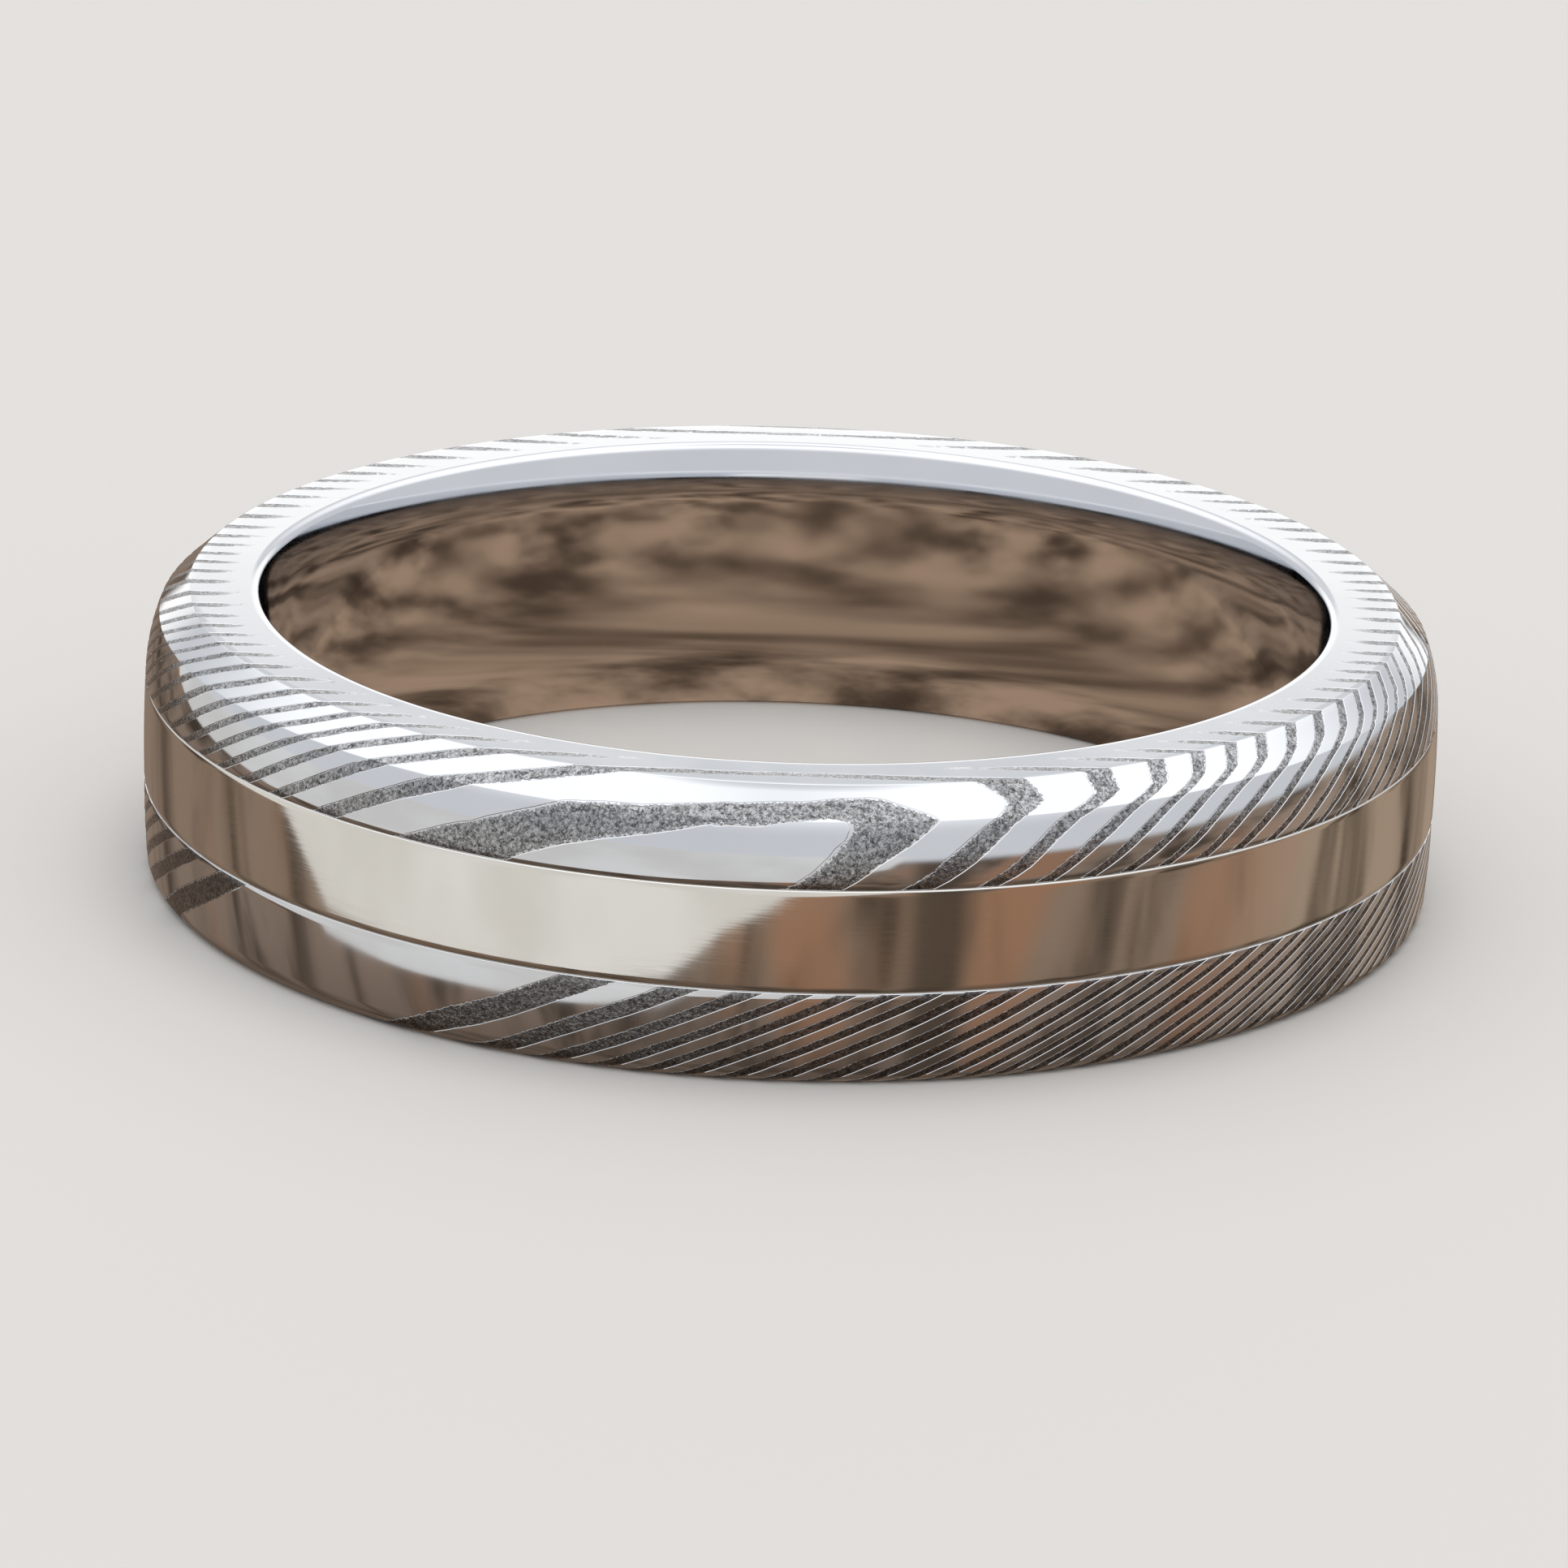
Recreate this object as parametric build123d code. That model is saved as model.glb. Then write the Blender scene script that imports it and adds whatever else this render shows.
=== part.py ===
from build123d import *
import math
import os

# A wedding band: a turned ring of pattern-welded steel with a white gold strip let into
# a channel round its middle. The upper edge has a wide bright bevel; the lower edge is
# only rounded over.
#
# Frame: millimetres, +Z along the finger. The band lies on its lower side face, so the
# origin is the centre of that face and the ring's axis is the Z axis. The strip's closing
# seam is at the back, on +Y.
#
# A profile is drawn as (distance from the axis, height from the strip's middle line).

# ---- Overall sizes ----------------------------------------------------------------------
ring_size = 58.0          # inside circumference, which is how rings are sized
wall = 2.1                # from the bore's land to the band's crown
band_width = 5.0          # from side face to side face

# ---- Bore, eased for comfort ------------------------------------------------------------
ease_run = 1.1            # length of the eased part at each end of the bore
ease_rise = 0.16          # how far the bore has opened out at the side face
ease_round = 0.12         # round between the eased bore and the side face

# ---- Outside of the band ----------------------------------------------------------------
shoulder_fall = 0.22      # how far the upper shoulder falls between channel and bevel
bevel_run = 0.52          # width of the bevel across the wall
bevel_drop = 0.47         # depth of the bevel along the finger
facet_round = 0.05        # softening left by polishing on the bevel's two edges
foot_fall = 0.08          # how far the lower shoulder falls between channel and side face
foot_round = 0.20         # round that takes the lower shoulder over to the side face

# ---- Gold strip and its channel ---------------------------------------------------------
strip_width = 1.8         # visible width of the strip
strip_thickness = 0.75    # from the channel's floor to the band's crown
undercut = 0.10           # extra width of the channel at its floor, on each side
channel_fit = 0.0         # the strip is pressed home, so the metals touch
strip_proud = 0.02        # how far the strip stands above the crown
strip_round = 0.06        # round along both edges of the strip
seam_gap = 0.10           # solder between the strip's two ends

# ---- Worked out from the sizes above ----------------------------------------------------
bore_radius = ring_size / (2 * math.pi)
crown_radius = bore_radius + wall
half_width = band_width / 2
floor_radius = crown_radius - strip_thickness
strip_radius = crown_radius + strip_proud
seam_turn = math.degrees(seam_gap / strip_radius)
seam_azimuth = 90.0


def rounded(face, place, radius):
    """Round the corner of a profile that lies nearest to the given place."""
    target = Vector(*place)
    vertex = min(face.vertices(), key=lambda v: (Vector(v) - target).length)
    return fillet(vertex, radius)


def turned(profile, start=0.0, turn=360.0):
    """Turn a profile about the ring's axis, from one azimuth, and stand it on its side face."""
    swept = revolve(Plane.XZ * profile, Axis.Z, turn)
    return Pos(0, 0, half_width) * Rot(0, 0, start) * swept


def band_profile():
    """Section of the steel band: eased bore, side faces, bevel, shoulders and channel."""
    top = half_width
    foot = -half_width
    lip = strip_width / 2
    corner = lip + undercut
    land_top = (bore_radius, top - ease_run)
    land_foot = (bore_radius, foot + ease_run)
    bore_top = (bore_radius + ease_rise, top)
    bore_foot = (bore_radius + ease_rise, foot)
    bevel_top = (crown_radius - shoulder_fall - bevel_run, top)
    bevel_foot = (crown_radius - shoulder_fall, top - bevel_drop)
    lower_edge = (crown_radius - foot_fall, foot)
    outline = [
        Line(land_foot, land_top),
        TangentArc(land_top, bore_top, tangent=(0, 1)),
        Line(bore_top, bevel_top),
        Line(bevel_top, bevel_foot),
        TangentArc((crown_radius, lip), bevel_foot, tangent=(0, 1)),
        Polyline(
            (crown_radius, lip),
            (floor_radius, corner),
            (floor_radius, -corner),
            (crown_radius, -lip),
        ),
        TangentArc((crown_radius, -lip), lower_edge, tangent=(0, -1)),
        Line(lower_edge, bore_foot),
        TangentArc(land_foot, bore_foot, tangent=(0, -1)),
    ]
    section = make_face(outline)
    for place, radius in (
        (bore_top, ease_round),
        (bore_foot, ease_round),
        (bevel_top, facet_round),
        (bevel_foot, facet_round),
        (lower_edge, foot_round),
    ):
        section = rounded(section, place, radius)
    return section


def strip_profile():
    """Section of the gold strip: a dovetail that fills the channel, with rounded edges."""
    seat = floor_radius + channel_fit
    foot = strip_width / 2 + undercut - channel_fit
    edge = foot - undercut * (strip_radius - seat) / strip_thickness
    section = make_face(
        Polyline(
            (seat, -foot), (seat, foot), (strip_radius, edge), (strip_radius, -edge), close=True
        )
    )
    for place in ((strip_radius, edge), (strip_radius, -edge)):
        section = rounded(section, place, strip_round)
    return section


def damascus_band():
    return turned(band_profile())


def gold_inlay_strip():
    return turned(strip_profile(), seam_azimuth + seam_turn / 2, 360.0 - seam_turn)


def inlay_solder_seam():
    return turned(strip_profile(), seam_azimuth - seam_turn / 2, seam_turn)


def build():
    return {
        "damascus_band": damascus_band(),
        "gold_inlay_strip": gold_inlay_strip(),
        "inlay_solder_seam": inlay_solder_seam(),
    }


os.makedirs("parts", exist_ok=True)
for node, solid in build().items():
    solid.label = node
    export_step(solid, f"parts/{node}.step")
    print(f"{node:20s} {solid.volume:9.3f} mm3")
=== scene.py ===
# %% [markdown]
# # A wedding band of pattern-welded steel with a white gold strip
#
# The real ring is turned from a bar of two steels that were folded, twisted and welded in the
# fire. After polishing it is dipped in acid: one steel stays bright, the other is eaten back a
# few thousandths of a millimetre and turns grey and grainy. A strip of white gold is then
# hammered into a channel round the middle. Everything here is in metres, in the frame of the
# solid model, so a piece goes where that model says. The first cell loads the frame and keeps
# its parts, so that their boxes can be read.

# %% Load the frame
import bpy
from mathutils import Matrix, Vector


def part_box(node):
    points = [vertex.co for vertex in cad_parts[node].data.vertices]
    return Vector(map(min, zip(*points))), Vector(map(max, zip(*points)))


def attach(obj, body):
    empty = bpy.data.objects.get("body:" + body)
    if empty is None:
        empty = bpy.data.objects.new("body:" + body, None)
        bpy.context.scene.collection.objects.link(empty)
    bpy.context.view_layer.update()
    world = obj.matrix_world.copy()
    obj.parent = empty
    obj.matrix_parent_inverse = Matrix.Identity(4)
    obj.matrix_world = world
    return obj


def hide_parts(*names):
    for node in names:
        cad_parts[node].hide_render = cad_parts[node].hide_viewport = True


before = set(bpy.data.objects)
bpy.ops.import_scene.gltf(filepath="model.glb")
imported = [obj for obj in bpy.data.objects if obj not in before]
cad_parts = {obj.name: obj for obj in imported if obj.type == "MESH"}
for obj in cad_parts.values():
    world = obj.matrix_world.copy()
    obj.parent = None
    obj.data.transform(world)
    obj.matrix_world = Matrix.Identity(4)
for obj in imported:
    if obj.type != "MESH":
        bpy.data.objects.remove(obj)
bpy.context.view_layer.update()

import math

import bpy
import numpy as np
from mathutils import Matrix, Vector

# %% [markdown]
# ## The ring's own sizes
#
# The band's crown and width come from the frame. The rest are a ring maker's sizes for the
# section: how far the bore is eased open, how wide the bevel is, how deep the strip sits.
# Lengths are written in millimetres and turned into metres once, with `MM`.

# %% Sizes of the section
MM = 0.001
low, high = (np.array(corner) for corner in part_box("damascus_band"))
CROWN = (high[0] - low[0]) / 2
WIDTH = high[2] - low[2]
MIDDLE = (high[2] + low[2]) / 2
HALF = WIDTH / 2
strip_low, strip_high = (np.array(corner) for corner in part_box("gold_inlay_strip"))
STRIP_CROWN = (strip_high[0] - strip_low[0]) / 2
WALL = 2.1 * MM
BORE = CROWN - WALL
EASE_RUN = 1.1 * MM
EASE_RISE = 0.16 * MM
EASE_ROUND = 0.12 * MM
SHOULDER_FALL = 0.22 * MM
BEVEL_RUN = 0.52 * MM
BEVEL_DROP = 0.47 * MM
FACET_ROUND = 0.05 * MM
FOOT_FALL = 0.08 * MM
FOOT_ROUND = 0.20 * MM
STRIP_HALF = 0.9 * MM
STRIP_DEPTH = 0.75 * MM
UNDERCUT = 0.10 * MM
LIP_ROUND = 0.012 * MM
FLOOR = CROWN - STRIP_DEPTH
print(f"crown {CROWN / MM:.3f} mm, bore {BORE / MM:.3f} mm, width {WIDTH / MM:.2f} mm")

# %% [markdown]
# ## Drawing a section
#
# A lathe turns the same section all the way round, so the section is the only outline the ring
# needs. It is drawn here as corners joined by lines or slightly bulged arcs, each corner
# rounded by its own radius, and a bigger round gets more samples. Each sample keeps the
# direction that the surface faces there. A mirror finish shows every small error in that
# direction, so it is worked out from the drawing and handed to the mesh, not guessed from the
# faces.

# %% Section drawing
def bulged(start, end, start_slope, count):
    """Points on an arc that leaves start in a given direction and reaches end."""
    start, end = np.array(start), np.array(end)
    slope = np.array(start_slope, float) / np.linalg.norm(start_slope)
    chord = end - start
    side = np.array([-slope[1], slope[0]])
    across = chord @ side
    radius = (chord @ chord) / (2 * across)
    centre = start + side * radius
    turn = 2 * math.atan2(across, chord @ slope)
    steps = np.linspace(0, turn, count)
    back = start - centre
    cosine, sine = np.cos(steps), np.sin(steps)
    return np.stack([
        centre[0] + back[0] * cosine - back[1] * sine,
        centre[1] + back[0] * sine + back[1] * cosine,
    ], 1)


def straight(start, end, count):
    return np.linspace(start, end, count)


def rounded_corner(before, after, radius, count):
    """Replace the corner where two runs of points meet with an arc of the given radius."""
    corner = before[-1]
    inward = (before[-2] - corner) / np.linalg.norm(before[-2] - corner)
    onward = (after[1] - corner) / np.linalg.norm(after[1] - corner)
    half_angle = math.acos(np.clip(inward @ onward, -1, 1)) / 2
    setback = radius / math.tan(half_angle)
    begin, finish = corner + inward * setback, corner + onward * setback
    keep_before = before[np.linalg.norm(before - corner, axis=1) > setback * 1.02]
    keep_after = after[np.linalg.norm(after - corner, axis=1) > setback * 1.02]
    return keep_before, bulged(begin, finish, -inward, count), keep_after


def round_samples(radius):
    if radius < 0.04 * MM:
        return 3
    return 4 if radius < 0.15 * MM else 6


def section(runs, rounds):
    """Join runs into one closed section; rounds[k] is the radius where run k meets the next."""
    runs = [np.array(run) for run in runs]
    arcs = []
    for k, radius in enumerate(rounds):
        following = (k + 1) % len(runs)
        runs[k], arc, runs[following] = rounded_corner(
            runs[k], runs[following], radius, round_samples(radius))
        arcs.append(arc)
    points = np.concatenate([np.concatenate([run, arc]) for run, arc in zip(runs, arcs)])
    spacing = np.linalg.norm(points - np.roll(points, 1, axis=0), axis=1)
    return points[spacing > 1e-7]


def facing(points):
    """Outward direction at each point of a closed section that runs anticlockwise."""
    ahead = np.roll(points, -1, axis=0) - points
    behind = points - np.roll(points, 1, axis=0)
    ahead /= np.linalg.norm(ahead, axis=1)[:, None]
    behind /= np.linalg.norm(behind, axis=1)[:, None]
    along = ahead + behind
    along /= np.linalg.norm(along, axis=1)[:, None]
    return np.stack([along[:, 1], -along[:, 0]], 1)


# %% [markdown]
# ## The band's section
#
# Going anticlockwise from the foot of the bore: out along the lower side face, round the lower
# edge, up the lower shoulder, in and out of the channel, up the domed upper shoulder, over the
# bright bevel, in along the upper side face and down the eased bore. Rows are close together
# where the steel's pattern shows and wide apart in the bore and the channel.

# %% The band's section
ROW = 0.15 * MM


def rows(length):
    return max(3, int(round(length / ROW)) + 1)


def band_section():
    top, foot = HALF, -HALF
    bore_top = (BORE + EASE_RISE, top)
    bore_foot = (BORE + EASE_RISE, foot)
    land_top = (BORE, top - EASE_RUN)
    land_foot = (BORE, foot + EASE_RUN)
    lower_edge = (CROWN - FOOT_FALL, foot)
    lower_lip = (CROWN, -STRIP_HALF)
    upper_lip = (CROWN, STRIP_HALF)
    lower_corner = (FLOOR, -STRIP_HALF - UNDERCUT)
    upper_corner = (FLOOR, STRIP_HALF + UNDERCUT)
    bevel_foot = (CROWN - SHOULDER_FALL, top - BEVEL_DROP)
    bevel_top = (CROWN - SHOULDER_FALL - BEVEL_RUN, top)
    bore_runs = [
        bulged(land_top, bore_top, (0, 1), 9)[::-1],
        straight(land_top, land_foot, 10)[1:-1],
        bulged(land_foot, bore_foot, (0, -1), 9),
    ]
    runs = [
        straight(bore_foot, lower_edge, rows(lower_edge[0] - bore_foot[0])),
        bulged(lower_lip, lower_edge, (0, -1), rows(HALF - STRIP_HALF))[::-1],
        straight(lower_lip, lower_corner, 3),
        straight(lower_corner, upper_corner, 7),
        straight(upper_corner, upper_lip, 3),
        bulged(upper_lip, bevel_foot, (0, 1), rows(HALF - BEVEL_DROP - STRIP_HALF)),
        straight(bevel_foot, bevel_top, rows(math.hypot(BEVEL_RUN, BEVEL_DROP))),
        straight(bevel_top, bore_top, rows(bevel_top[0] - bore_top[0])),
        np.concatenate(bore_runs),
    ]
    rounds = [
        FOOT_ROUND, LIP_ROUND, LIP_ROUND, LIP_ROUND, LIP_ROUND,
        FACET_ROUND, FACET_ROUND, EASE_ROUND, EASE_ROUND,
    ]
    return section(runs, rounds)


band_points = band_section()
band_facing = facing(band_points)
print("the band's section has", len(band_points), "points")

# %% [markdown]
# ## Where the layers run
#
# Inside the bar the steels lie as flat sheets, about six tenths of a millimetre apart, that
# turn slowly as one goes along it, because the bar was twisted. A turned ring cuts through
# them, so each layer shows as a curved stripe, and where the surface only just grazes a sheet
# the stripe opens into a wide tongue. One formula gives all of that: the distance from the
# axis, measured square to the sheets. It is counted in crown radii, so that 1 is the crown.
#
# A forged bar is never quite even, so smooth terms shift the sheets a little. One acts to the
# left of the place where a sheet is grazed, and three to the right of it: on the bevel, on
# the upper shoulder and near the strip. The outermost dark layer sags, the sheets lie a
# little closer below the strip, and their spacing swells and shrinks from sheet to sheet.
# These terms are this ring's own unevenness. A seeded noise adds small
# waves for the hammering, and a finer one the ragged line that the acid leaves.

# %% The layers
LAYER_PITCH = 0.0523          # one bright and one dark layer, as a share of the crown radius
DARK_ABOVE = 0.410            # how much of the pitch the acid has eaten above the strip
DARK_BELOW = 0.53             # and below it, where the dark steel is thicker
FIRST_DARK = 0.9500           # middle of the outermost dark layer
TWIST_AT_MIDDLE = -26.2       # degrees, at the middle of the band
TWIST_RATE = 122.0            # degrees of twist over a length of one crown radius
HAMMERING = 0.0030            # height of the hammering waves
ACID = 0.0009                 # height of the acid's ragged line
TONGUE_FROM, TONGUE_FULL = 0.908, 0.924    # sheets that open wider where they are grazed
PLAIN_FROM, PLAIN_FULL = 0.016, 0.030      # beyond the outermost dark layer all is bright
LIP = STRIP_HALF / CROWN
BEVEL_FROM, BEVEL_FULL = 0.172, 0.198      # height of the bevel's foot, shaded in
noise_source = np.random.default_rng(58)


def smooth_noise(cells_across, cells_along):
    """A smooth noise from -1 to 1, as a function of the turn (0 to 1) and the way along."""
    grid = noise_source.uniform(-1, 1, (cells_across, cells_along + 2))

    def value(turn, along):
        x = turn * cells_across
        y = np.clip(along, 0, 1) * cells_along
        x0, y0 = np.floor(x).astype(int), np.floor(y).astype(int)
        fx, fy = x - x0, y - y0
        fx, fy = fx * fx * (3 - 2 * fx), fy * fy * (3 - 2 * fy)
        x0, x1 = x0 % cells_across, (x0 + 1) % cells_across
        near = grid[x0, y0] * (1 - fx) + grid[x1, y0] * fx
        far = grid[x0, y0 + 1] * (1 - fx) + grid[x1, y0 + 1] * fx
        return near * (1 - fy) + far * fy

    return value


waves = {"hammering": smooth_noise(60, 14), "acid": smooth_noise(260, 60)}
print(f"one bright and one dark layer: {LAYER_PITCH * CROWN / MM:.2f} mm")


def smooth_step(low_end, high_end, value):
    t = np.clip((value - low_end) / (high_end - low_end), 0, 1)
    return t * t * (3 - 2 * t)


def uneven_sheets(square, sine, v):
    """Push flat sheets about; sine is that of the angle to where a sheet is only grazed."""
    left, right = np.maximum(-sine, 0), np.maximum(sine, 0)
    below = 1 - smooth_step(-LIP, LIP, v)
    on_bevel = smooth_step(BEVEL_FROM, BEVEL_FULL, v)
    on_shoulder = smooth_step(LIP, 0.165, v) * (1 - on_bevel)
    near_lip = 1 - smooth_step(LIP, 0.14, v)
    square = square + smooth_step(LIP, 0.21, v) * 0.026 * smooth_step(0.28, 0.60, left)
    square = square + on_bevel * 0.016 * smooth_step(0.20, 0.60, right)
    square = square - on_shoulder * 0.013 * smooth_step(0.30, 0.42, right)
    square = square + near_lip * 0.0035 * smooth_step(0.10, 0.26, right)
    sag = 0.012 * np.exp(-((sine + 0.10) / 0.17) ** 2)
    sag = sag + 0.014 * (1 - smooth_step(0.03, 0.17, sine))
    square = square - sag * (1 - below) * smooth_step(0.910, 0.962, square)
    square = square + below * ((square - 0.9425) * 0.083 + 0.0075)
    return square + 0.0100 * np.sin(2 * np.pi * (square - 0.74) / 0.42)


def layer_depth(azimuth, radius, height, along, rough=True):
    """How far inside a dark layer a place is, in metres; below zero it is a bright layer."""
    u, v = radius / CROWN, height / CROWN
    slant = azimuth - np.radians(TWIST_AT_MIDDLE + TWIST_RATE * v)
    square = uneven_sheets(u * np.cos(slant), np.sin(slant), v)
    below = 1 - smooth_step(-LIP, LIP, v)
    left = np.maximum(-np.sin(slant), 0)
    tongue = smooth_step(TONGUE_FROM, TONGUE_FULL, square) * (1 - below)
    tongue = tongue * (0.0008 + 0.0045 * np.exp(-((left - 0.27) / 0.09) ** 2))
    turn = azimuth / (2 * np.pi) % 1
    square = square + HAMMERING * waves["hammering"](turn, along)
    if rough:
        square = square + ACID * waves["acid"](turn, along)
    phase = (square - FIRST_DARK) / LAYER_PITCH
    offset = np.abs(phase - np.round(phase))
    dark_share = DARK_ABOVE + (DARK_BELOW - DARK_ABOVE) * below
    depth = (dark_share / 2 - offset) * LAYER_PITCH + tongue
    plain = smooth_step(FIRST_DARK + PLAIN_FROM, FIRST_DARK + PLAIN_FULL, square)
    return (depth - 0.03 * plain) * CROWN


# %% [markdown]
# ## Cutting the layers into the mesh
#
# The surface starts as a plain lathe grid. Wherever the line between a bright and a dark layer
# crosses a cell, the cell is cut along that line, the dark side is let down by the depth of
# the etching, and a small sloping wall joins the two levels. That keeps the edge of each layer
# crisp and real, where a bump in the material would only pretend. Two values are stored at
# each corner for the finish to use: the depth inside a layer, and how strongly it was etched.
#
# The columns of the grid lean with the twist of the bar. A layer then stays near the same
# columns all the way up, and even a thin one is cut cleanly from few cells.

# %% Grid of the band
COLUMNS = 520
ETCH_DEPTH = 0.0055 * MM
WALL_SLOPE = 0.010 * MM
FADE_FROM, FADE_FULL = 0.835, 0.915        # shares of the crown radius, on the side faces
FADE_TAPER = 0.125 * MM                    # how much a layer narrows where etching fades out
UNETCHED = -0.0005 * MM
CUT_MARGIN = 0.08                          # a cut keeps this share of an edge from its ends


def etched_rows(points):
    """How strongly each row is etched: fully outside, fading over the side faces to the bore."""
    radius, height = points[:, 0], points[:, 1]
    share = radius / CROWN
    fade = smooth_step(FADE_FROM, FADE_FULL, share)
    beside_strip = np.abs(height) < STRIP_HALF + 0.6 * LIP_ROUND
    in_channel = (np.abs(height) < STRIP_HALF + 1.5 * UNDERCUT) & (radius < CROWN - LIP_ROUND)
    return np.where(beside_strip | (in_channel & (share > 0.9)), 0.0, fade)


row_turn = (np.radians(TWIST_RATE) * band_points[:, 1] / CROWN)[:, None]


def band_grid():
    radius, height = band_points[:, 0][:, None], band_points[:, 1][:, None]
    azimuth = np.arange(COLUMNS)[None, :] * 2 * np.pi / COLUMNS + row_turn
    step = np.linalg.norm(np.roll(band_points, -1, axis=0) - band_points, axis=1)
    along = ((np.cumsum(step) - step) / step.sum())[:, None] * np.ones((1, COLUMNS))
    etch = etched_rows(band_points)[:, None] * np.ones((1, COLUMNS))
    taper = FADE_TAPER * (1 - etch) ** 1.5
    places = (azimuth, radius, height, along)
    depth = layer_depth(*places) - taper
    calm = layer_depth(*places, rough=False) - taper
    depth = np.where(etch <= 0.0, UNETCHED, depth)
    return azimuth, depth, calm, etch


azimuth, depth, calm_depth, etch = band_grid()
print(f"{(depth > 0).mean():.0%} of the grid is etched")

# %% Places and directions on the band
def lathe_frames(points, facings, angles):
    """Place, outward direction, and the two directions along the surface, row by column."""
    sine, cosine = np.atleast_2d(np.sin(angles)), np.atleast_2d(np.cos(angles))
    radius, height = points[:, 0][:, None], points[:, 1][:, None]
    out_r, out_z = facings[:, 0][:, None], facings[:, 1][:, None]
    flat = np.ones_like(radius * sine)
    place = np.stack([radius * sine, -radius * cosine, (height + MIDDLE) * flat], -1)
    outward = np.stack([out_r * sine, -out_r * cosine, out_z * flat], -1)
    around = np.stack([cosine * flat, sine * flat, 0 * flat], -1)
    along = np.stack([-out_z * sine, out_z * cosine, out_r * flat], -1)
    return place, outward, around, along


def depth_slopes(depth, points):
    """How fast the layer depth grows per metre, around the ring and along the section."""
    radius = points[:, 0][:, None]
    cell = 2 * np.pi / COLUMNS
    around = (np.roll(depth, -1, 1) - np.roll(depth, 1, 1)) / (2 * cell * radius)
    step = np.linalg.norm(np.roll(points, -1, axis=0) - points, axis=1)
    span = (step + np.roll(step, 1))[:, None]
    lean = (np.roll(row_turn, -1, 0) - np.roll(row_turn, 1, 0)) * radius
    along = (np.roll(depth, -1, 0) - np.roll(depth, 1, 0) - around * lean) / span
    return around, along


place, outward, around, along_section = lathe_frames(band_points, band_facing, azimuth)
slope_around, slope_along = depth_slopes(calm_depth, band_points)


# %% Cut the band's cells along the layers
class BandMesh:
    """Collects corners, faces and the direction that each face corner is shaded with."""

    def __init__(self):
        row_count = len(band_points)
        dark = depth > 0
        self.dark = dark.ravel()
        self.depth = depth.ravel()
        self.etch = etch.ravel()
        self.place = place.reshape(-1, 3)
        self.outward = outward.reshape(-1, 3)
        self.around = around.reshape(-1, 3)
        self.along = along_section.reshape(-1, 3)
        self.slopes = np.stack([slope_around.ravel(), slope_along.ravel()], 1)
        let_down = ETCH_DEPTH * self.dark * self.etch ** 3
        self.corners = list(self.place - self.outward * let_down[:, None])
        self.facings = list(self.outward)
        self.layer = list(self.depth)
        self.strength = list(self.etch)
        self.faces, self.shading = [], []
        self.cuts = {}
        self.row_count = row_count

    def add_corner(self, spot, direction, layer, strength):
        self.corners.append(spot)
        self.facings.append(direction)
        self.layer.append(layer)
        self.strength.append(strength)
        return len(self.corners) - 1

    def cut(self, a, b):
        """The two corners, on the bright and on the dark level, where a layer crosses an edge."""
        key = (a, b) if a < b else (b, a)
        if key not in self.cuts:
            a, b = key
            t = self.depth[a] / (self.depth[a] - self.depth[b])
            t = min(max(t, CUT_MARGIN), 1 - CUT_MARGIN)

            def mix(values):
                return values[a] * (1 - t) + values[b] * t

            direction = mix(self.outward)
            direction /= np.linalg.norm(direction)
            spot = mix(self.place)
            slopes = mix(self.slopes)
            inward = mix(self.around) * slopes[0] + mix(self.along) * slopes[1]
            inward /= np.linalg.norm(inward) + 1e-12
            strength = mix(self.etch)
            drop = ETCH_DEPTH * strength ** 3
            lowered = spot + inward * WALL_SLOPE - direction * drop
            wall = direction * WALL_SLOPE + inward * drop
            wall /= np.linalg.norm(wall)
            upper = self.add_corner(spot, direction, 0.0, strength)
            lower = self.add_corner(lowered, direction, 0.0, strength)
            self.cuts[key] = (upper, lower, wall)
        return self.cuts[key]

    def face(self, corners, directions=None):
        self.faces.append(corners)
        if directions is None:
            directions = [self.facings[c] for c in corners]
        self.shading.extend(directions)

    def triangle(self, trio):
        """Cut one triangle of the lathe grid, which a layer's edge crosses at most once."""
        darkness = [self.dark[c] for c in trio]
        if all(darkness) or not any(darkness):
            self.face(list(trio))
            return
        lone = darkness.index(sum(darkness) == 1)
        a, b, c = trio[lone], trio[(lone + 1) % 3], trio[(lone + 2) % 3]
        lone_level = 1 if self.dark[a] else 0
        ab, ca = self.cut(a, b), self.cut(c, a)
        self.face([a, ab[lone_level], ca[lone_level]])
        other = 1 - lone_level
        self.face([ab[other], b, c, ca[other]])
        wall = [ab[lone_level], ab[other], ca[other], ca[lone_level]]
        self.face(wall, [ab[2], ab[2], ca[2], ca[2]])

    def build(self):
        for row in range(self.row_count):
            above = (row + 1) % self.row_count
            for column in range(COLUMNS):
                right = (column + 1) % COLUMNS
                cell = [
                    row * COLUMNS + column, row * COLUMNS + right,
                    above * COLUMNS + right, above * COLUMNS + column,
                ]
                darkness = self.dark[cell]
                if darkness.all() or not darkness.any():
                    self.face(cell)
                elif (row + column) % 2:
                    self.triangle(cell[:3])
                    self.triangle([cell[2], cell[3], cell[0]])
                else:
                    self.triangle([cell[0], cell[1], cell[3]])
                    self.triangle(cell[1:])


def store_value(mesh, name, values):
    attribute = mesh.attributes.new(name, "FLOAT", "POINT")
    attribute.data.foreach_set("value", np.asarray(values, dtype=np.float32))


def new_piece(name, corners, faces, shading=None):
    """A mesh object whose face corners are shaded in the given directions."""
    mesh = bpy.data.meshes.new(name)
    mesh.from_pydata([tuple(c) for c in corners], [], faces)
    for polygon in mesh.polygons:
        polygon.use_smooth = True
    if shading is not None:
        mesh.normals_split_custom_set([tuple(d) for d in shading])
    piece = bpy.data.objects.new(name, mesh)
    bpy.context.scene.collection.objects.link(piece)
    return piece


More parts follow.
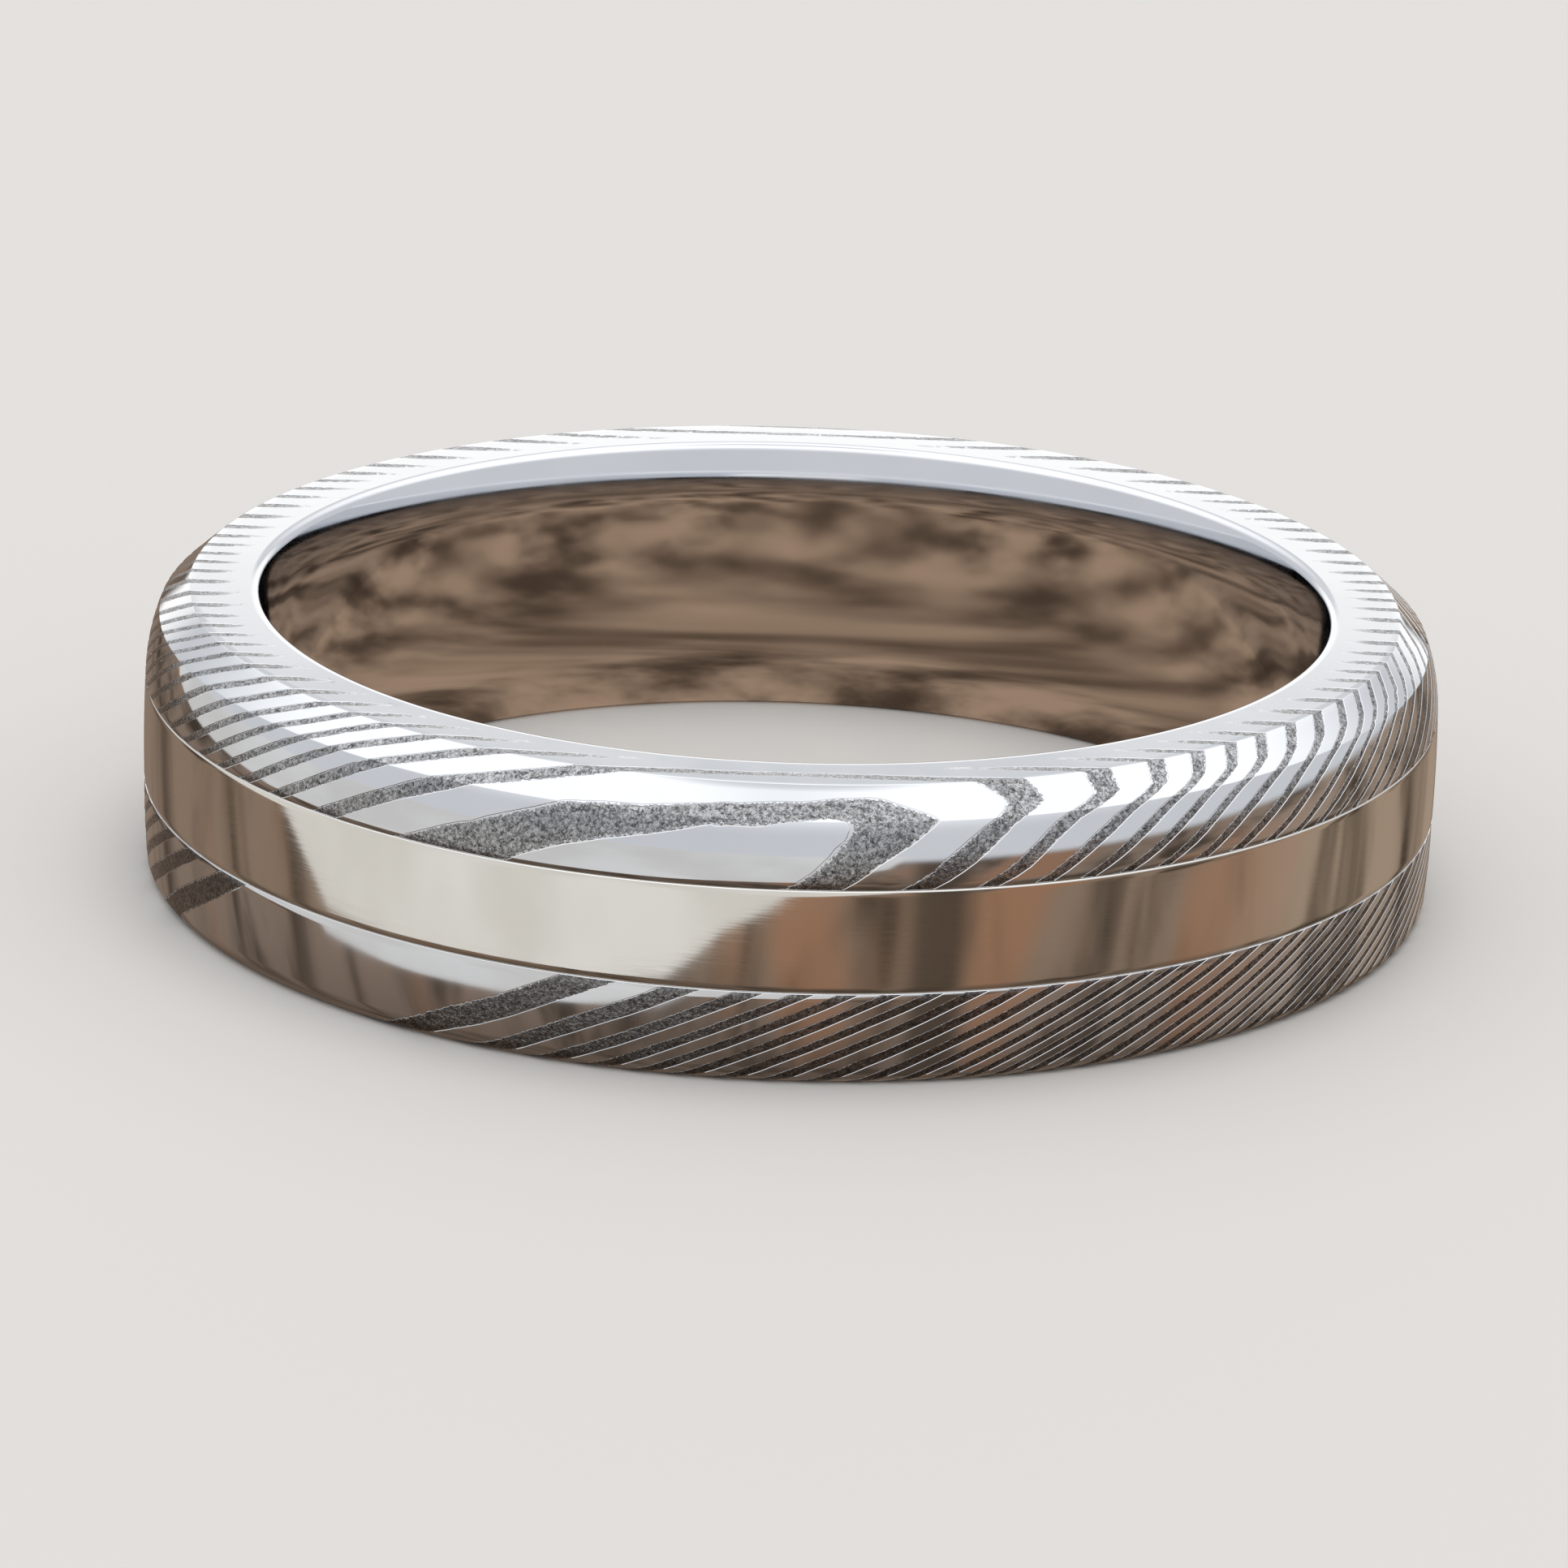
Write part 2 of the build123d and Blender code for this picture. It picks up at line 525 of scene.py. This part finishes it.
# %% Make the band
cutter = BandMesh()
cutter.build()
band = new_piece("damascus_steel_band", cutter.corners, cutter.faces, cutter.shading)
store_value(band.data, "layer_depth", np.array(cutter.layer) / MM)
store_value(band.data, "etch_strength", cutter.strength)
triangles = sum(len(face) - 2 for face in cutter.faces)
print(f"band: {len(cutter.corners)} corners, {triangles} triangles, {len(cutter.cuts)} cuts")
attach(band, "root")
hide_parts("damascus_band")

# %% [markdown]
# ## Wiring a finish
#
# A finish is a small graph of nodes. Writing one by hand takes a line for each node and a line
# for each link, so three short helpers do the repeated work: one adds a node and sets its
# sockets, one does arithmetic, one turns a value into a soft-edged mask.

# %% Helpers for finishes
def finish_of(name):
    material = bpy.data.materials.new(name)
    material.use_nodes = True
    tree = material.node_tree
    tree.nodes.clear()
    output = tree.nodes.new("ShaderNodeOutputMaterial")
    surface = tree.nodes.new("ShaderNodeBsdfPrincipled")
    tree.links.new(surface.outputs[0], output.inputs[0])
    return material, tree, surface


def add(tree, kind, inputs=None, **settings):
    node = tree.nodes.new("ShaderNode" + kind)
    for key, value in settings.items():
        setattr(node, key, value)
    for key, value in (inputs or {}).items():
        if isinstance(value, bpy.types.NodeSocket):
            tree.links.new(value, node.inputs[key])
        else:
            node.inputs[key].default_value = value
    return node


def maths(tree, operation, first, second=0.0):
    return add(tree, "Math", {0: first, 1: second}, operation=operation).outputs[0]


def ramp(tree, value, low_end, high_end, start=0.0, end=1.0):
    node = add(tree, "MapRange", {0: value, 1: low_end, 2: high_end, 3: start, 4: end},
               interpolation_type="SMOOTHSTEP")
    return node.outputs[0]


def blend_colours(tree, share, first, second):
    node = add(tree, "Mix", {"Factor": share}, data_type="RGBA")
    for socket, colour in ((node.inputs[6], first), (node.inputs[7], second)):
        if isinstance(colour, bpy.types.NodeSocket):
            tree.links.new(colour, socket)
        else:
            socket.default_value = colour
    return node.outputs[2]


def grain(tree, place, per_mm, detail=2.0, roughness=0.5):
    return add(tree, "TexNoise", {"Vector": place, "Scale": per_mm / MM, "Detail": detail,
                                  "Roughness": roughness}, noise_dimensions="3D").outputs[0]


# %% [markdown]
# ## The steel's finish
#
# The bright layers are a cool mirror with the faintest polishing haze. The dark ones are a bed
# of crystals, each about a twentieth of a millimetre across: some facets catch the light,
# most do not. The edge between them is ragged at the size of those crystals, so the stored
# layer depth is pushed about by the same grain before it becomes a mask. It is only pushed
# towards the bright side, which leaves the walls between the layers whole and bright. The
# facets below the strip are painted darker than those above it, as painted shade on the lower
# shoulder. On the side faces the etching was polished back towards the bore, and only its
# ghost is left.

# %% Steel
ETCHED_DARK = (0.065, 0.064, 0.065, 1)
# The darker facet colour below the strip is painted shade on the lower shoulder.
FACETS_IN_PAINTED_SHADE, FACETS_ABOVE = (0.40, 0.395, 0.40, 1), (0.61, 0.61, 0.62, 1)
BRIGHT_COOL, BRIGHT_PALE = (0.74, 0.755, 0.785, 1), (0.83, 0.84, 0.86, 1)


def damascus_finish():
    material, tree, surface = finish_of("pattern_welded_steel_finish")
    place = add(tree, "TexCoord").outputs["Object"]
    layer = add(tree, "Attribute", attribute_name="layer_depth").outputs["Fac"]
    strength = add(tree, "Attribute", attribute_name="etch_strength").outputs["Fac"]
    crystals = grain(tree, place, 15.0, 3.0, 0.65)
    fine = grain(tree, place, 34.0, 2.0, 0.6)
    cells = add(tree, "TexVoronoi", {"Vector": place, "Scale": 17.0 / MM}, feature="F1")
    shove = maths(tree, "MULTIPLY", maths(tree, "SUBTRACT", crystals, 0.56), 0.13)
    shove = maths(tree, "MINIMUM", shove, 0.0)
    ragged = maths(tree, "ADD", layer, shove)
    mask = ramp(tree, ragged, 0.000, 0.014)
    mask = maths(tree, "MULTIPLY", mask, ramp(tree, strength, 0.10, 1.0))
    speck = ramp(tree, maths(tree, "ADD", maths(tree, "MULTIPLY", crystals, 0.55),
                             maths(tree, "MULTIPLY", fine, 0.45)), 0.42, 0.60)
    facet = add(tree, "SeparateColor", {0: cells.outputs["Color"]}).outputs[0]
    tone = maths(tree, "ADD", maths(tree, "MULTIPLY", speck, 0.6),
                 maths(tree, "MULTIPLY", facet, 0.4))
    height = add(tree, "SeparateXYZ", {0: place}).outputs[2]
    # Painted shade: below the strip the etched facets take the darker colour.
    clear_of_painted_shade = ramp(tree, height, MIDDLE - STRIP_HALF, MIDDLE + STRIP_HALF)
    facets_with_painted_shade = blend_colours(tree, clear_of_painted_shade, FACETS_IN_PAINTED_SHADE, FACETS_ABOVE)
    etched = blend_colours(tree, tone, ETCHED_DARK, facets_with_painted_shade)
    cloud = grain(tree, place, 0.5, 3.0, 0.5)
    bright = blend_colours(tree, cloud, BRIGHT_COOL, BRIGHT_PALE)
    colour = blend_colours(tree, mask, bright, etched)
    tree.links.new(colour, surface.inputs["Base Color"])
    rough_etched = ramp(tree, tone, 0.0, 1.0, 0.29, 0.13)
    haze = ramp(tree, cloud, 0.3, 0.7, 0.045, 0.085)
    roughness = add(tree, "Mix", {0: mask, 2: haze, 3: rough_etched}, data_type="FLOAT")
    tree.links.new(roughness.outputs[0], surface.inputs["Roughness"])
    surface.inputs["Metallic"].default_value = 1.0
    relief = maths(tree, "MULTIPLY", maths(tree, "ADD", crystals, facet), mask)
    bump = add(tree, "Bump", {"Strength": 1.0, "Distance": 0.008 * MM, "Height": relief})
    tree.links.new(bump.outputs[0], surface.inputs["Normal"])
    return material


band.data.materials.append(damascus_finish())
print("finish:", band.data.materials[0].name)

# %% [markdown]
# ## The gold strip and its seam
#
# The strip is wider at its foot than at its face, so once it is hammered home it can't lift
# out. Its two ends meet at the back, where a hair of solder closes it and is filed flush. Both
# pieces are turned from one section; each is a closed solid with flat ends where it was cut.

# %% Gold strip
STRIP_DOME = 0.015 * MM
STRIP_ROUND = 0.041 * MM


def strip_section():
    foot = STRIP_HALF + UNDERCUT
    edge = STRIP_HALF
    shoulder = STRIP_CROWN - STRIP_DOME
    dome_slope = 2 * STRIP_DOME / edge
    runs = [
        straight((FLOOR, -foot), (shoulder, -edge), 6),
        bulged((shoulder, -edge), (shoulder, edge), (dome_slope, 1), 16),
        straight((shoulder, edge), (FLOOR, foot), 6),
        straight((FLOOR, foot), (FLOOR, -foot), 6),
    ]
    return section(runs, [STRIP_ROUND, STRIP_ROUND, LIP_ROUND, LIP_ROUND])


def turned_arc(name, points, start, end, columns):
    """Turn a section from one azimuth to another and close both ends."""
    angles = np.linspace(start, end, columns + 1)
    spots, outwards, _, _ = lathe_frames(points, facing(points), angles)
    row_count, column_count = len(points), columns + 1
    corners = list(spots.reshape(-1, 3))
    outwards = outwards.reshape(-1, 3)
    faces, shading = [], []
    for row in range(row_count):
        above = (row + 1) % row_count
        for column in range(columns):
            cell = [row * column_count + column, row * column_count + column + 1,
                    above * column_count + column + 1, above * column_count + column]
            faces.append(cell)
            shading.extend(outwards[cell])
    for column, sign in ((0, -1), (columns, 1)):
        ring = [row * column_count + column for row in range(row_count)]
        angle = angles[column]
        direction = np.array([math.cos(angle), math.sin(angle), 0]) * sign
        faces.append(ring if sign > 0 else ring[::-1])
        shading.extend([direction] * row_count)
    return new_piece(name, corners, faces, shading)


SEAM_GAP = 0.10 * MM
SEAM_AZIMUTH = math.pi
STRIP_COLUMNS, SEAM_COLUMNS = 540, 4
half_seam = SEAM_GAP / STRIP_CROWN / 2
strip_points = strip_section()
strip = turned_arc("white_gold_strip", strip_points, SEAM_AZIMUTH + half_seam,
                   SEAM_AZIMUTH + 2 * math.pi - half_seam, STRIP_COLUMNS)
seam = turned_arc("strip_solder_seam", strip_points, SEAM_AZIMUTH - half_seam,
                  SEAM_AZIMUTH + half_seam, SEAM_COLUMNS)
for piece, node, slot in (
    (strip, "gold_inlay_strip", "white_gold"),
    (seam, "inlay_solder_seam", "white_gold_solder"),
):
    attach(piece, "root")
    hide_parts(node)
    print(piece.name, len(piece.data.polygons), "faces")

# %% [markdown]
# ## White gold
#
# White gold is warmer than steel, nearly cream, and softer, so its mirror carries the fine
# lines of the last polishing wheel, which all run round the ring. The noise that draws them is
# squeezed along the axis and stretched round it. The solder is the same metal, a shade duller.

# %% White gold finishes
def gold_finish(name, pale, warm, low_rough, high_rough):
    material, tree, surface = finish_of(name)
    place = add(tree, "TexCoord").outputs["Object"]
    split = add(tree, "SeparateXYZ", {0: place})
    turn = maths(tree, "ARCTAN2", split.outputs[0], split.outputs[1])
    lines_at = add(tree, "CombineXYZ", {0: maths(tree, "MULTIPLY", turn, 0.0006),
                                        1: split.outputs[2], 2: 0.0}).outputs[0]
    lines = grain(tree, lines_at, 22.0, 3.0, 0.6)
    cloud = grain(tree, place, 0.35, 3.0, 0.5)
    colour = blend_colours(tree, cloud, pale, warm)
    tree.links.new(colour, surface.inputs["Base Color"])
    haze = maths(tree, "MULTIPLY", maths(tree, "ADD", lines, cloud), 0.5)
    tree.links.new(ramp(tree, haze, 0.3, 0.7, low_rough, high_rough), surface.inputs["Roughness"])
    surface.inputs["Metallic"].default_value = 1.0
    bump = add(tree, "Bump", {"Strength": 0.35, "Distance": 0.0006 * MM, "Height": lines})
    tree.links.new(bump.outputs[0], surface.inputs["Normal"])
    return material


strip.data.materials.append(gold_finish(
    "white_gold_polish", (0.905, 0.885, 0.845, 1), (0.875, 0.845, 0.79, 1), 0.05, 0.11))
seam.data.materials.append(gold_finish(
    "solder_polish", (0.80, 0.775, 0.72, 1), (0.74, 0.70, 0.63, 1), 0.12, 0.22))
print("finishes:", strip.data.materials[0].name, "and", seam.data.materials[0].name)

# %% [markdown]
# ## The world
#
# Polished metal has hardly any colour of its own: it shows what stands around it. So a room is
# painted into the world, by direction. Its sky is pale and brightest well above the horizon,
# with a dimmer patch straight overhead and a window low at the back. Under the horizon lie
# brown boards, with streaks, rusty patches and one dark gap right of the front. This is more
# than plain studio light, and the ring's warm tones come from it.

# %% World
SKY_LOW, SKY_HIGH = (0.68, 0.695, 0.72, 1), (1.28, 1.29, 1.31, 1)
SKY_OVERHEAD = (0.80, 0.81, 0.83, 1)
WINDOW = (1.20, 1.19, 1.17, 1)
BOARDS, RUSTY_BOARDS = (0.250, 0.185, 0.142, 1), (0.31, 0.175, 0.110, 1)
PALER_BOARDS = (0.36, 0.275, 0.210, 1)
BOARD_SHADE = (0.060, 0.044, 0.032, 1)
GAP_TURN = math.radians(27)


def painted_sky(tree, toward_back, rise):
    sky = blend_colours(tree, ramp(tree, rise, 0.25, 0.70), SKY_LOW, SKY_HIGH)
    window = maths(tree, "MULTIPLY", ramp(tree, toward_back, 0.80, 0.93),
                   ramp(tree, rise, 0.286, 0.314, 1.0, 0.0))
    sky = blend_colours(tree, window, sky, WINDOW)
    return blend_colours(tree, ramp(tree, rise, 0.965, 0.995), sky, SKY_OVERHEAD)


def painted_boards(tree, turn, rise):
    """Boards that are paler on the far right and darker straight down."""
    stretched = add(tree, "CombineXYZ", {0: maths(tree, "MULTIPLY", turn, 2.2),
                                         1: maths(tree, "MULTIPLY", rise, 1.6), 2: 0.0}).outputs[0]
    streaks = add(tree, "TexNoise", {"Vector": stretched, "Scale": 1.7, "Detail": 5.0,
                                     "Roughness": 0.6, "Distortion": 0.6}).outputs[0]
    rust = add(tree, "TexNoise", {"Vector": stretched, "Scale": 0.9, "Detail": 2.0}).outputs[0]
    wood = blend_colours(tree, ramp(tree, rust, 0.52, 0.66), BOARDS, RUSTY_BOARDS)
    wood = blend_colours(tree, ramp(tree, turn, 1.2, 2.0), wood, PALER_BOARDS)
    ground = blend_colours(tree, ramp(tree, streaks, 0.33, 0.58), BOARD_SHADE, wood)
    dusk = ramp(tree, rise, -0.55, -0.33, 0.6, 0.0)
    ground = blend_colours(tree, dusk, ground, BOARD_SHADE)
    from_gap = maths(tree, "ABSOLUTE", maths(tree, "SUBTRACT", turn, GAP_TURN))
    return blend_colours(tree, ramp(tree, from_gap, 0.05, 0.12, 0.85, 0.0), ground, BOARD_SHADE)


def studio_world():
    world = bpy.data.worlds.new("studio")
    world.use_nodes = True
    bpy.context.scene.world = world
    tree = world.node_tree
    tree.nodes.clear()
    output = tree.nodes.new("ShaderNodeOutputWorld")
    background = tree.nodes.new("ShaderNodeBackground")
    tree.links.new(background.outputs[0], output.inputs[0])
    direction = add(tree, "TexCoord").outputs["Generated"]
    split = add(tree, "SeparateXYZ", {0: direction})
    toward_back, rise = split.outputs[1], split.outputs[2]
    turn = maths(tree, "ARCTAN2", split.outputs[0], maths(tree, "MULTIPLY", toward_back, -1.0))
    sky, ground = painted_sky(tree, toward_back, rise), painted_boards(tree, turn, rise)
    room = blend_colours(tree, ramp(tree, rise, -0.04, 0.03), ground, sky)
    tree.links.new(room, background.inputs["Color"])
    background.inputs["Strength"].default_value = 1.0
    return world


print("world:", studio_world().name)

# %% [markdown]
# ## The floor
#
# The floor is a plain pale sheet a hair under the ring. It takes the ring's shadow, but it is
# kept out of the reflections, so the metal sees the painted boards and not the floor.

# %% Floor
FLOOR_REACH = 0.6
FLOOR_LEVEL = -0.02 * MM


def studio_floor():
    reach = FLOOR_REACH
    mesh = bpy.data.meshes.new("floor")
    mesh.from_pydata([(-reach, -reach, FLOOR_LEVEL), (reach, -reach, FLOOR_LEVEL),
                      (reach, reach, FLOOR_LEVEL), (-reach, reach, FLOOR_LEVEL)],
                     [], [(0, 1, 2, 3)])
    floor = bpy.data.objects.new("floor", mesh)
    bpy.context.scene.collection.objects.link(floor)
    material, tree, surface = finish_of("pale_floor")
    surface.inputs["Base Color"].default_value = (0.56, 0.54, 0.515, 1)
    surface.inputs["Roughness"].default_value = 0.75
    mesh.materials.append(material)
    floor.visible_glossy = False
    return floor


print("floor:", studio_floor().name)

# %% [markdown]
# ## Two sheets that only the metal sees
#
# A pale card curves round the front left and narrows towards its foot. It gives the ring its
# broad white patch, and the card's outline is that patch's outline, worked back through the
# mirror. A brown disc under the ring gives the bore its mottled brown. The camera, the floor
# and the shadows ignore both sheets.

# %% Card and disc
CARD_REACH = 40 * MM
card_edge = [            # height in millimetres, left and right edge in degrees from the front
    (-13.8, -58, -36), (-13.3, -70, -26), (-12.8, -77, -18), (-11.2, -80, -13), (-9.5, -84, -9),
    (-8.0, -88, -2), (-6.7, -94, 2), (-4.0, -112, 8), (-1.0, -122, 15), (3.0, -126, 18),
]
CARD_COLUMNS = 24
DISC_CORNERS = 48
DISC_REACH = CROWN * 0.97
DISC_LEVEL = -0.01 * MM


def reflection_only(piece):
    """Let only the metal's reflections see a sheet."""
    piece.visible_camera = False
    piece.visible_diffuse = False
    piece.visible_shadow = False


def card_finish(name, dark, light, patch_size):
    material = bpy.data.materials.new(name)
    material.use_nodes = True
    tree = material.node_tree
    tree.nodes.clear()
    place = add(tree, "TexCoord").outputs["Object"]
    patches = add(tree, "TexNoise", {"Vector": place, "Scale": 1 / patch_size, "Detail": 4.0})
    glow = add(tree, "Emission", {
        "Color": blend_colours(tree, ramp(tree, patches.outputs[0], 0.35, 0.65), dark, light)})
    output = add(tree, "OutputMaterial")
    tree.links.new(glow.outputs[0], output.inputs[0])
    return material


def pale_card():
    spots, faces = [], []
    for rise, left, right in card_edge:
        for turn in np.radians(np.linspace(left, right, CARD_COLUMNS + 1)):
            spots.append((CARD_REACH * math.sin(turn), -CARD_REACH * math.cos(turn),
                          MIDDLE + rise * MM))
    for row in range(len(card_edge) - 1):
        for column in range(CARD_COLUMNS):
            a = row * (CARD_COLUMNS + 1) + column
            faces.append((a, a + 1, a + CARD_COLUMNS + 2, a + CARD_COLUMNS + 1))
    card = new_piece("pale_card", spots, faces)
    card.data.materials.append(card_finish(
        "pale_card_face", (0.66, 0.65, 0.625, 1), (0.76, 0.755, 0.74, 1), 14 * MM))
    reflection_only(card)
    return card


def ground_in_bore():
    angles = np.linspace(0, 2 * math.pi, DISC_CORNERS, endpoint=False)
    spots = [(DISC_REACH * math.cos(t), DISC_REACH * math.sin(t), DISC_LEVEL) for t in angles]
    disc = new_piece("ground_in_bore", spots, [list(range(DISC_CORNERS))])
    disc.data.materials.append(card_finish(
        "ground_in_bore_face", (0.07, 0.045, 0.030, 1), (0.39, 0.265, 0.180, 1), 2.4 * MM))
    reflection_only(disc)
    return disc


print("seen only in reflections:", pale_card().name, "and", ground_in_bore().name)

# %% [markdown]
# ## The light
#
# One soft round lamp hangs over the ring and gives it a gentle shadow. It is kept out of the
# reflections too.

# %% Overhead light
def soft_light(name, place, target, size, power, colour):
    light = bpy.data.lights.new(name, "AREA")
    light.shape = "DISK"
    light.size = size
    light.energy = power
    light.color = colour
    lamp = bpy.data.objects.new(name, light)
    lamp.location = place
    aim = Vector(target) - Vector(place)
    lamp.rotation_euler = aim.to_track_quat("-Z", "Y").to_euler()
    bpy.context.scene.collection.objects.link(lamp)
    return lamp


overhead = soft_light("overhead", (0.02, 0.03, 0.30), (0, 0, 0), 0.18, 0.22, (1.0, 0.985, 0.96))
overhead.visible_glossy = False
print("light:", overhead.name)

# %% [markdown]
# ## The camera
#
# A ring is small, so it is shot with a long lens from nearly fifteen ring radii away, about
# eighteen degrees above the table. The long lens keeps its circles nearly true ellipses. The
# camera leans two degrees, which tips the ring a touch to the right.

# %% Camera
LENS = 219.3
STAND = Vector((-0.007, -14.11, 4.565))    # in crown radii, from the middle of the ring
LOOK = Vector((0.0, 0.9497, -0.3132))
LEAN = Vector((0.9994, 0.0109, 0.0330))    # the camera's own right


def set_camera():
    camera = bpy.data.cameras.new("camera")
    camera.lens = LENS
    camera.sensor_width = 36.0
    camera.clip_start = 0.005
    camera.clip_end = 5.0
    rig = bpy.data.objects.new("camera", camera)
    forward = LOOK.normalized()
    up = LEAN.cross(forward).normalized()
    right = forward.cross(up).normalized()
    stand = STAND * CROWN + Vector((0, 0, MIDDLE))
    turned = Matrix((right, up, -forward)).transposed().to_4x4()
    rig.matrix_world = Matrix.Translation(stand) @ turned
    bpy.context.scene.collection.objects.link(rig)
    bpy.context.scene.camera = rig
    return rig


rig = set_camera()
bpy.context.scene.view_settings.view_transform = "Standard"
print(f"camera: {rig.name}, {rig.location.length / CROWN:.1f} crown radii away")
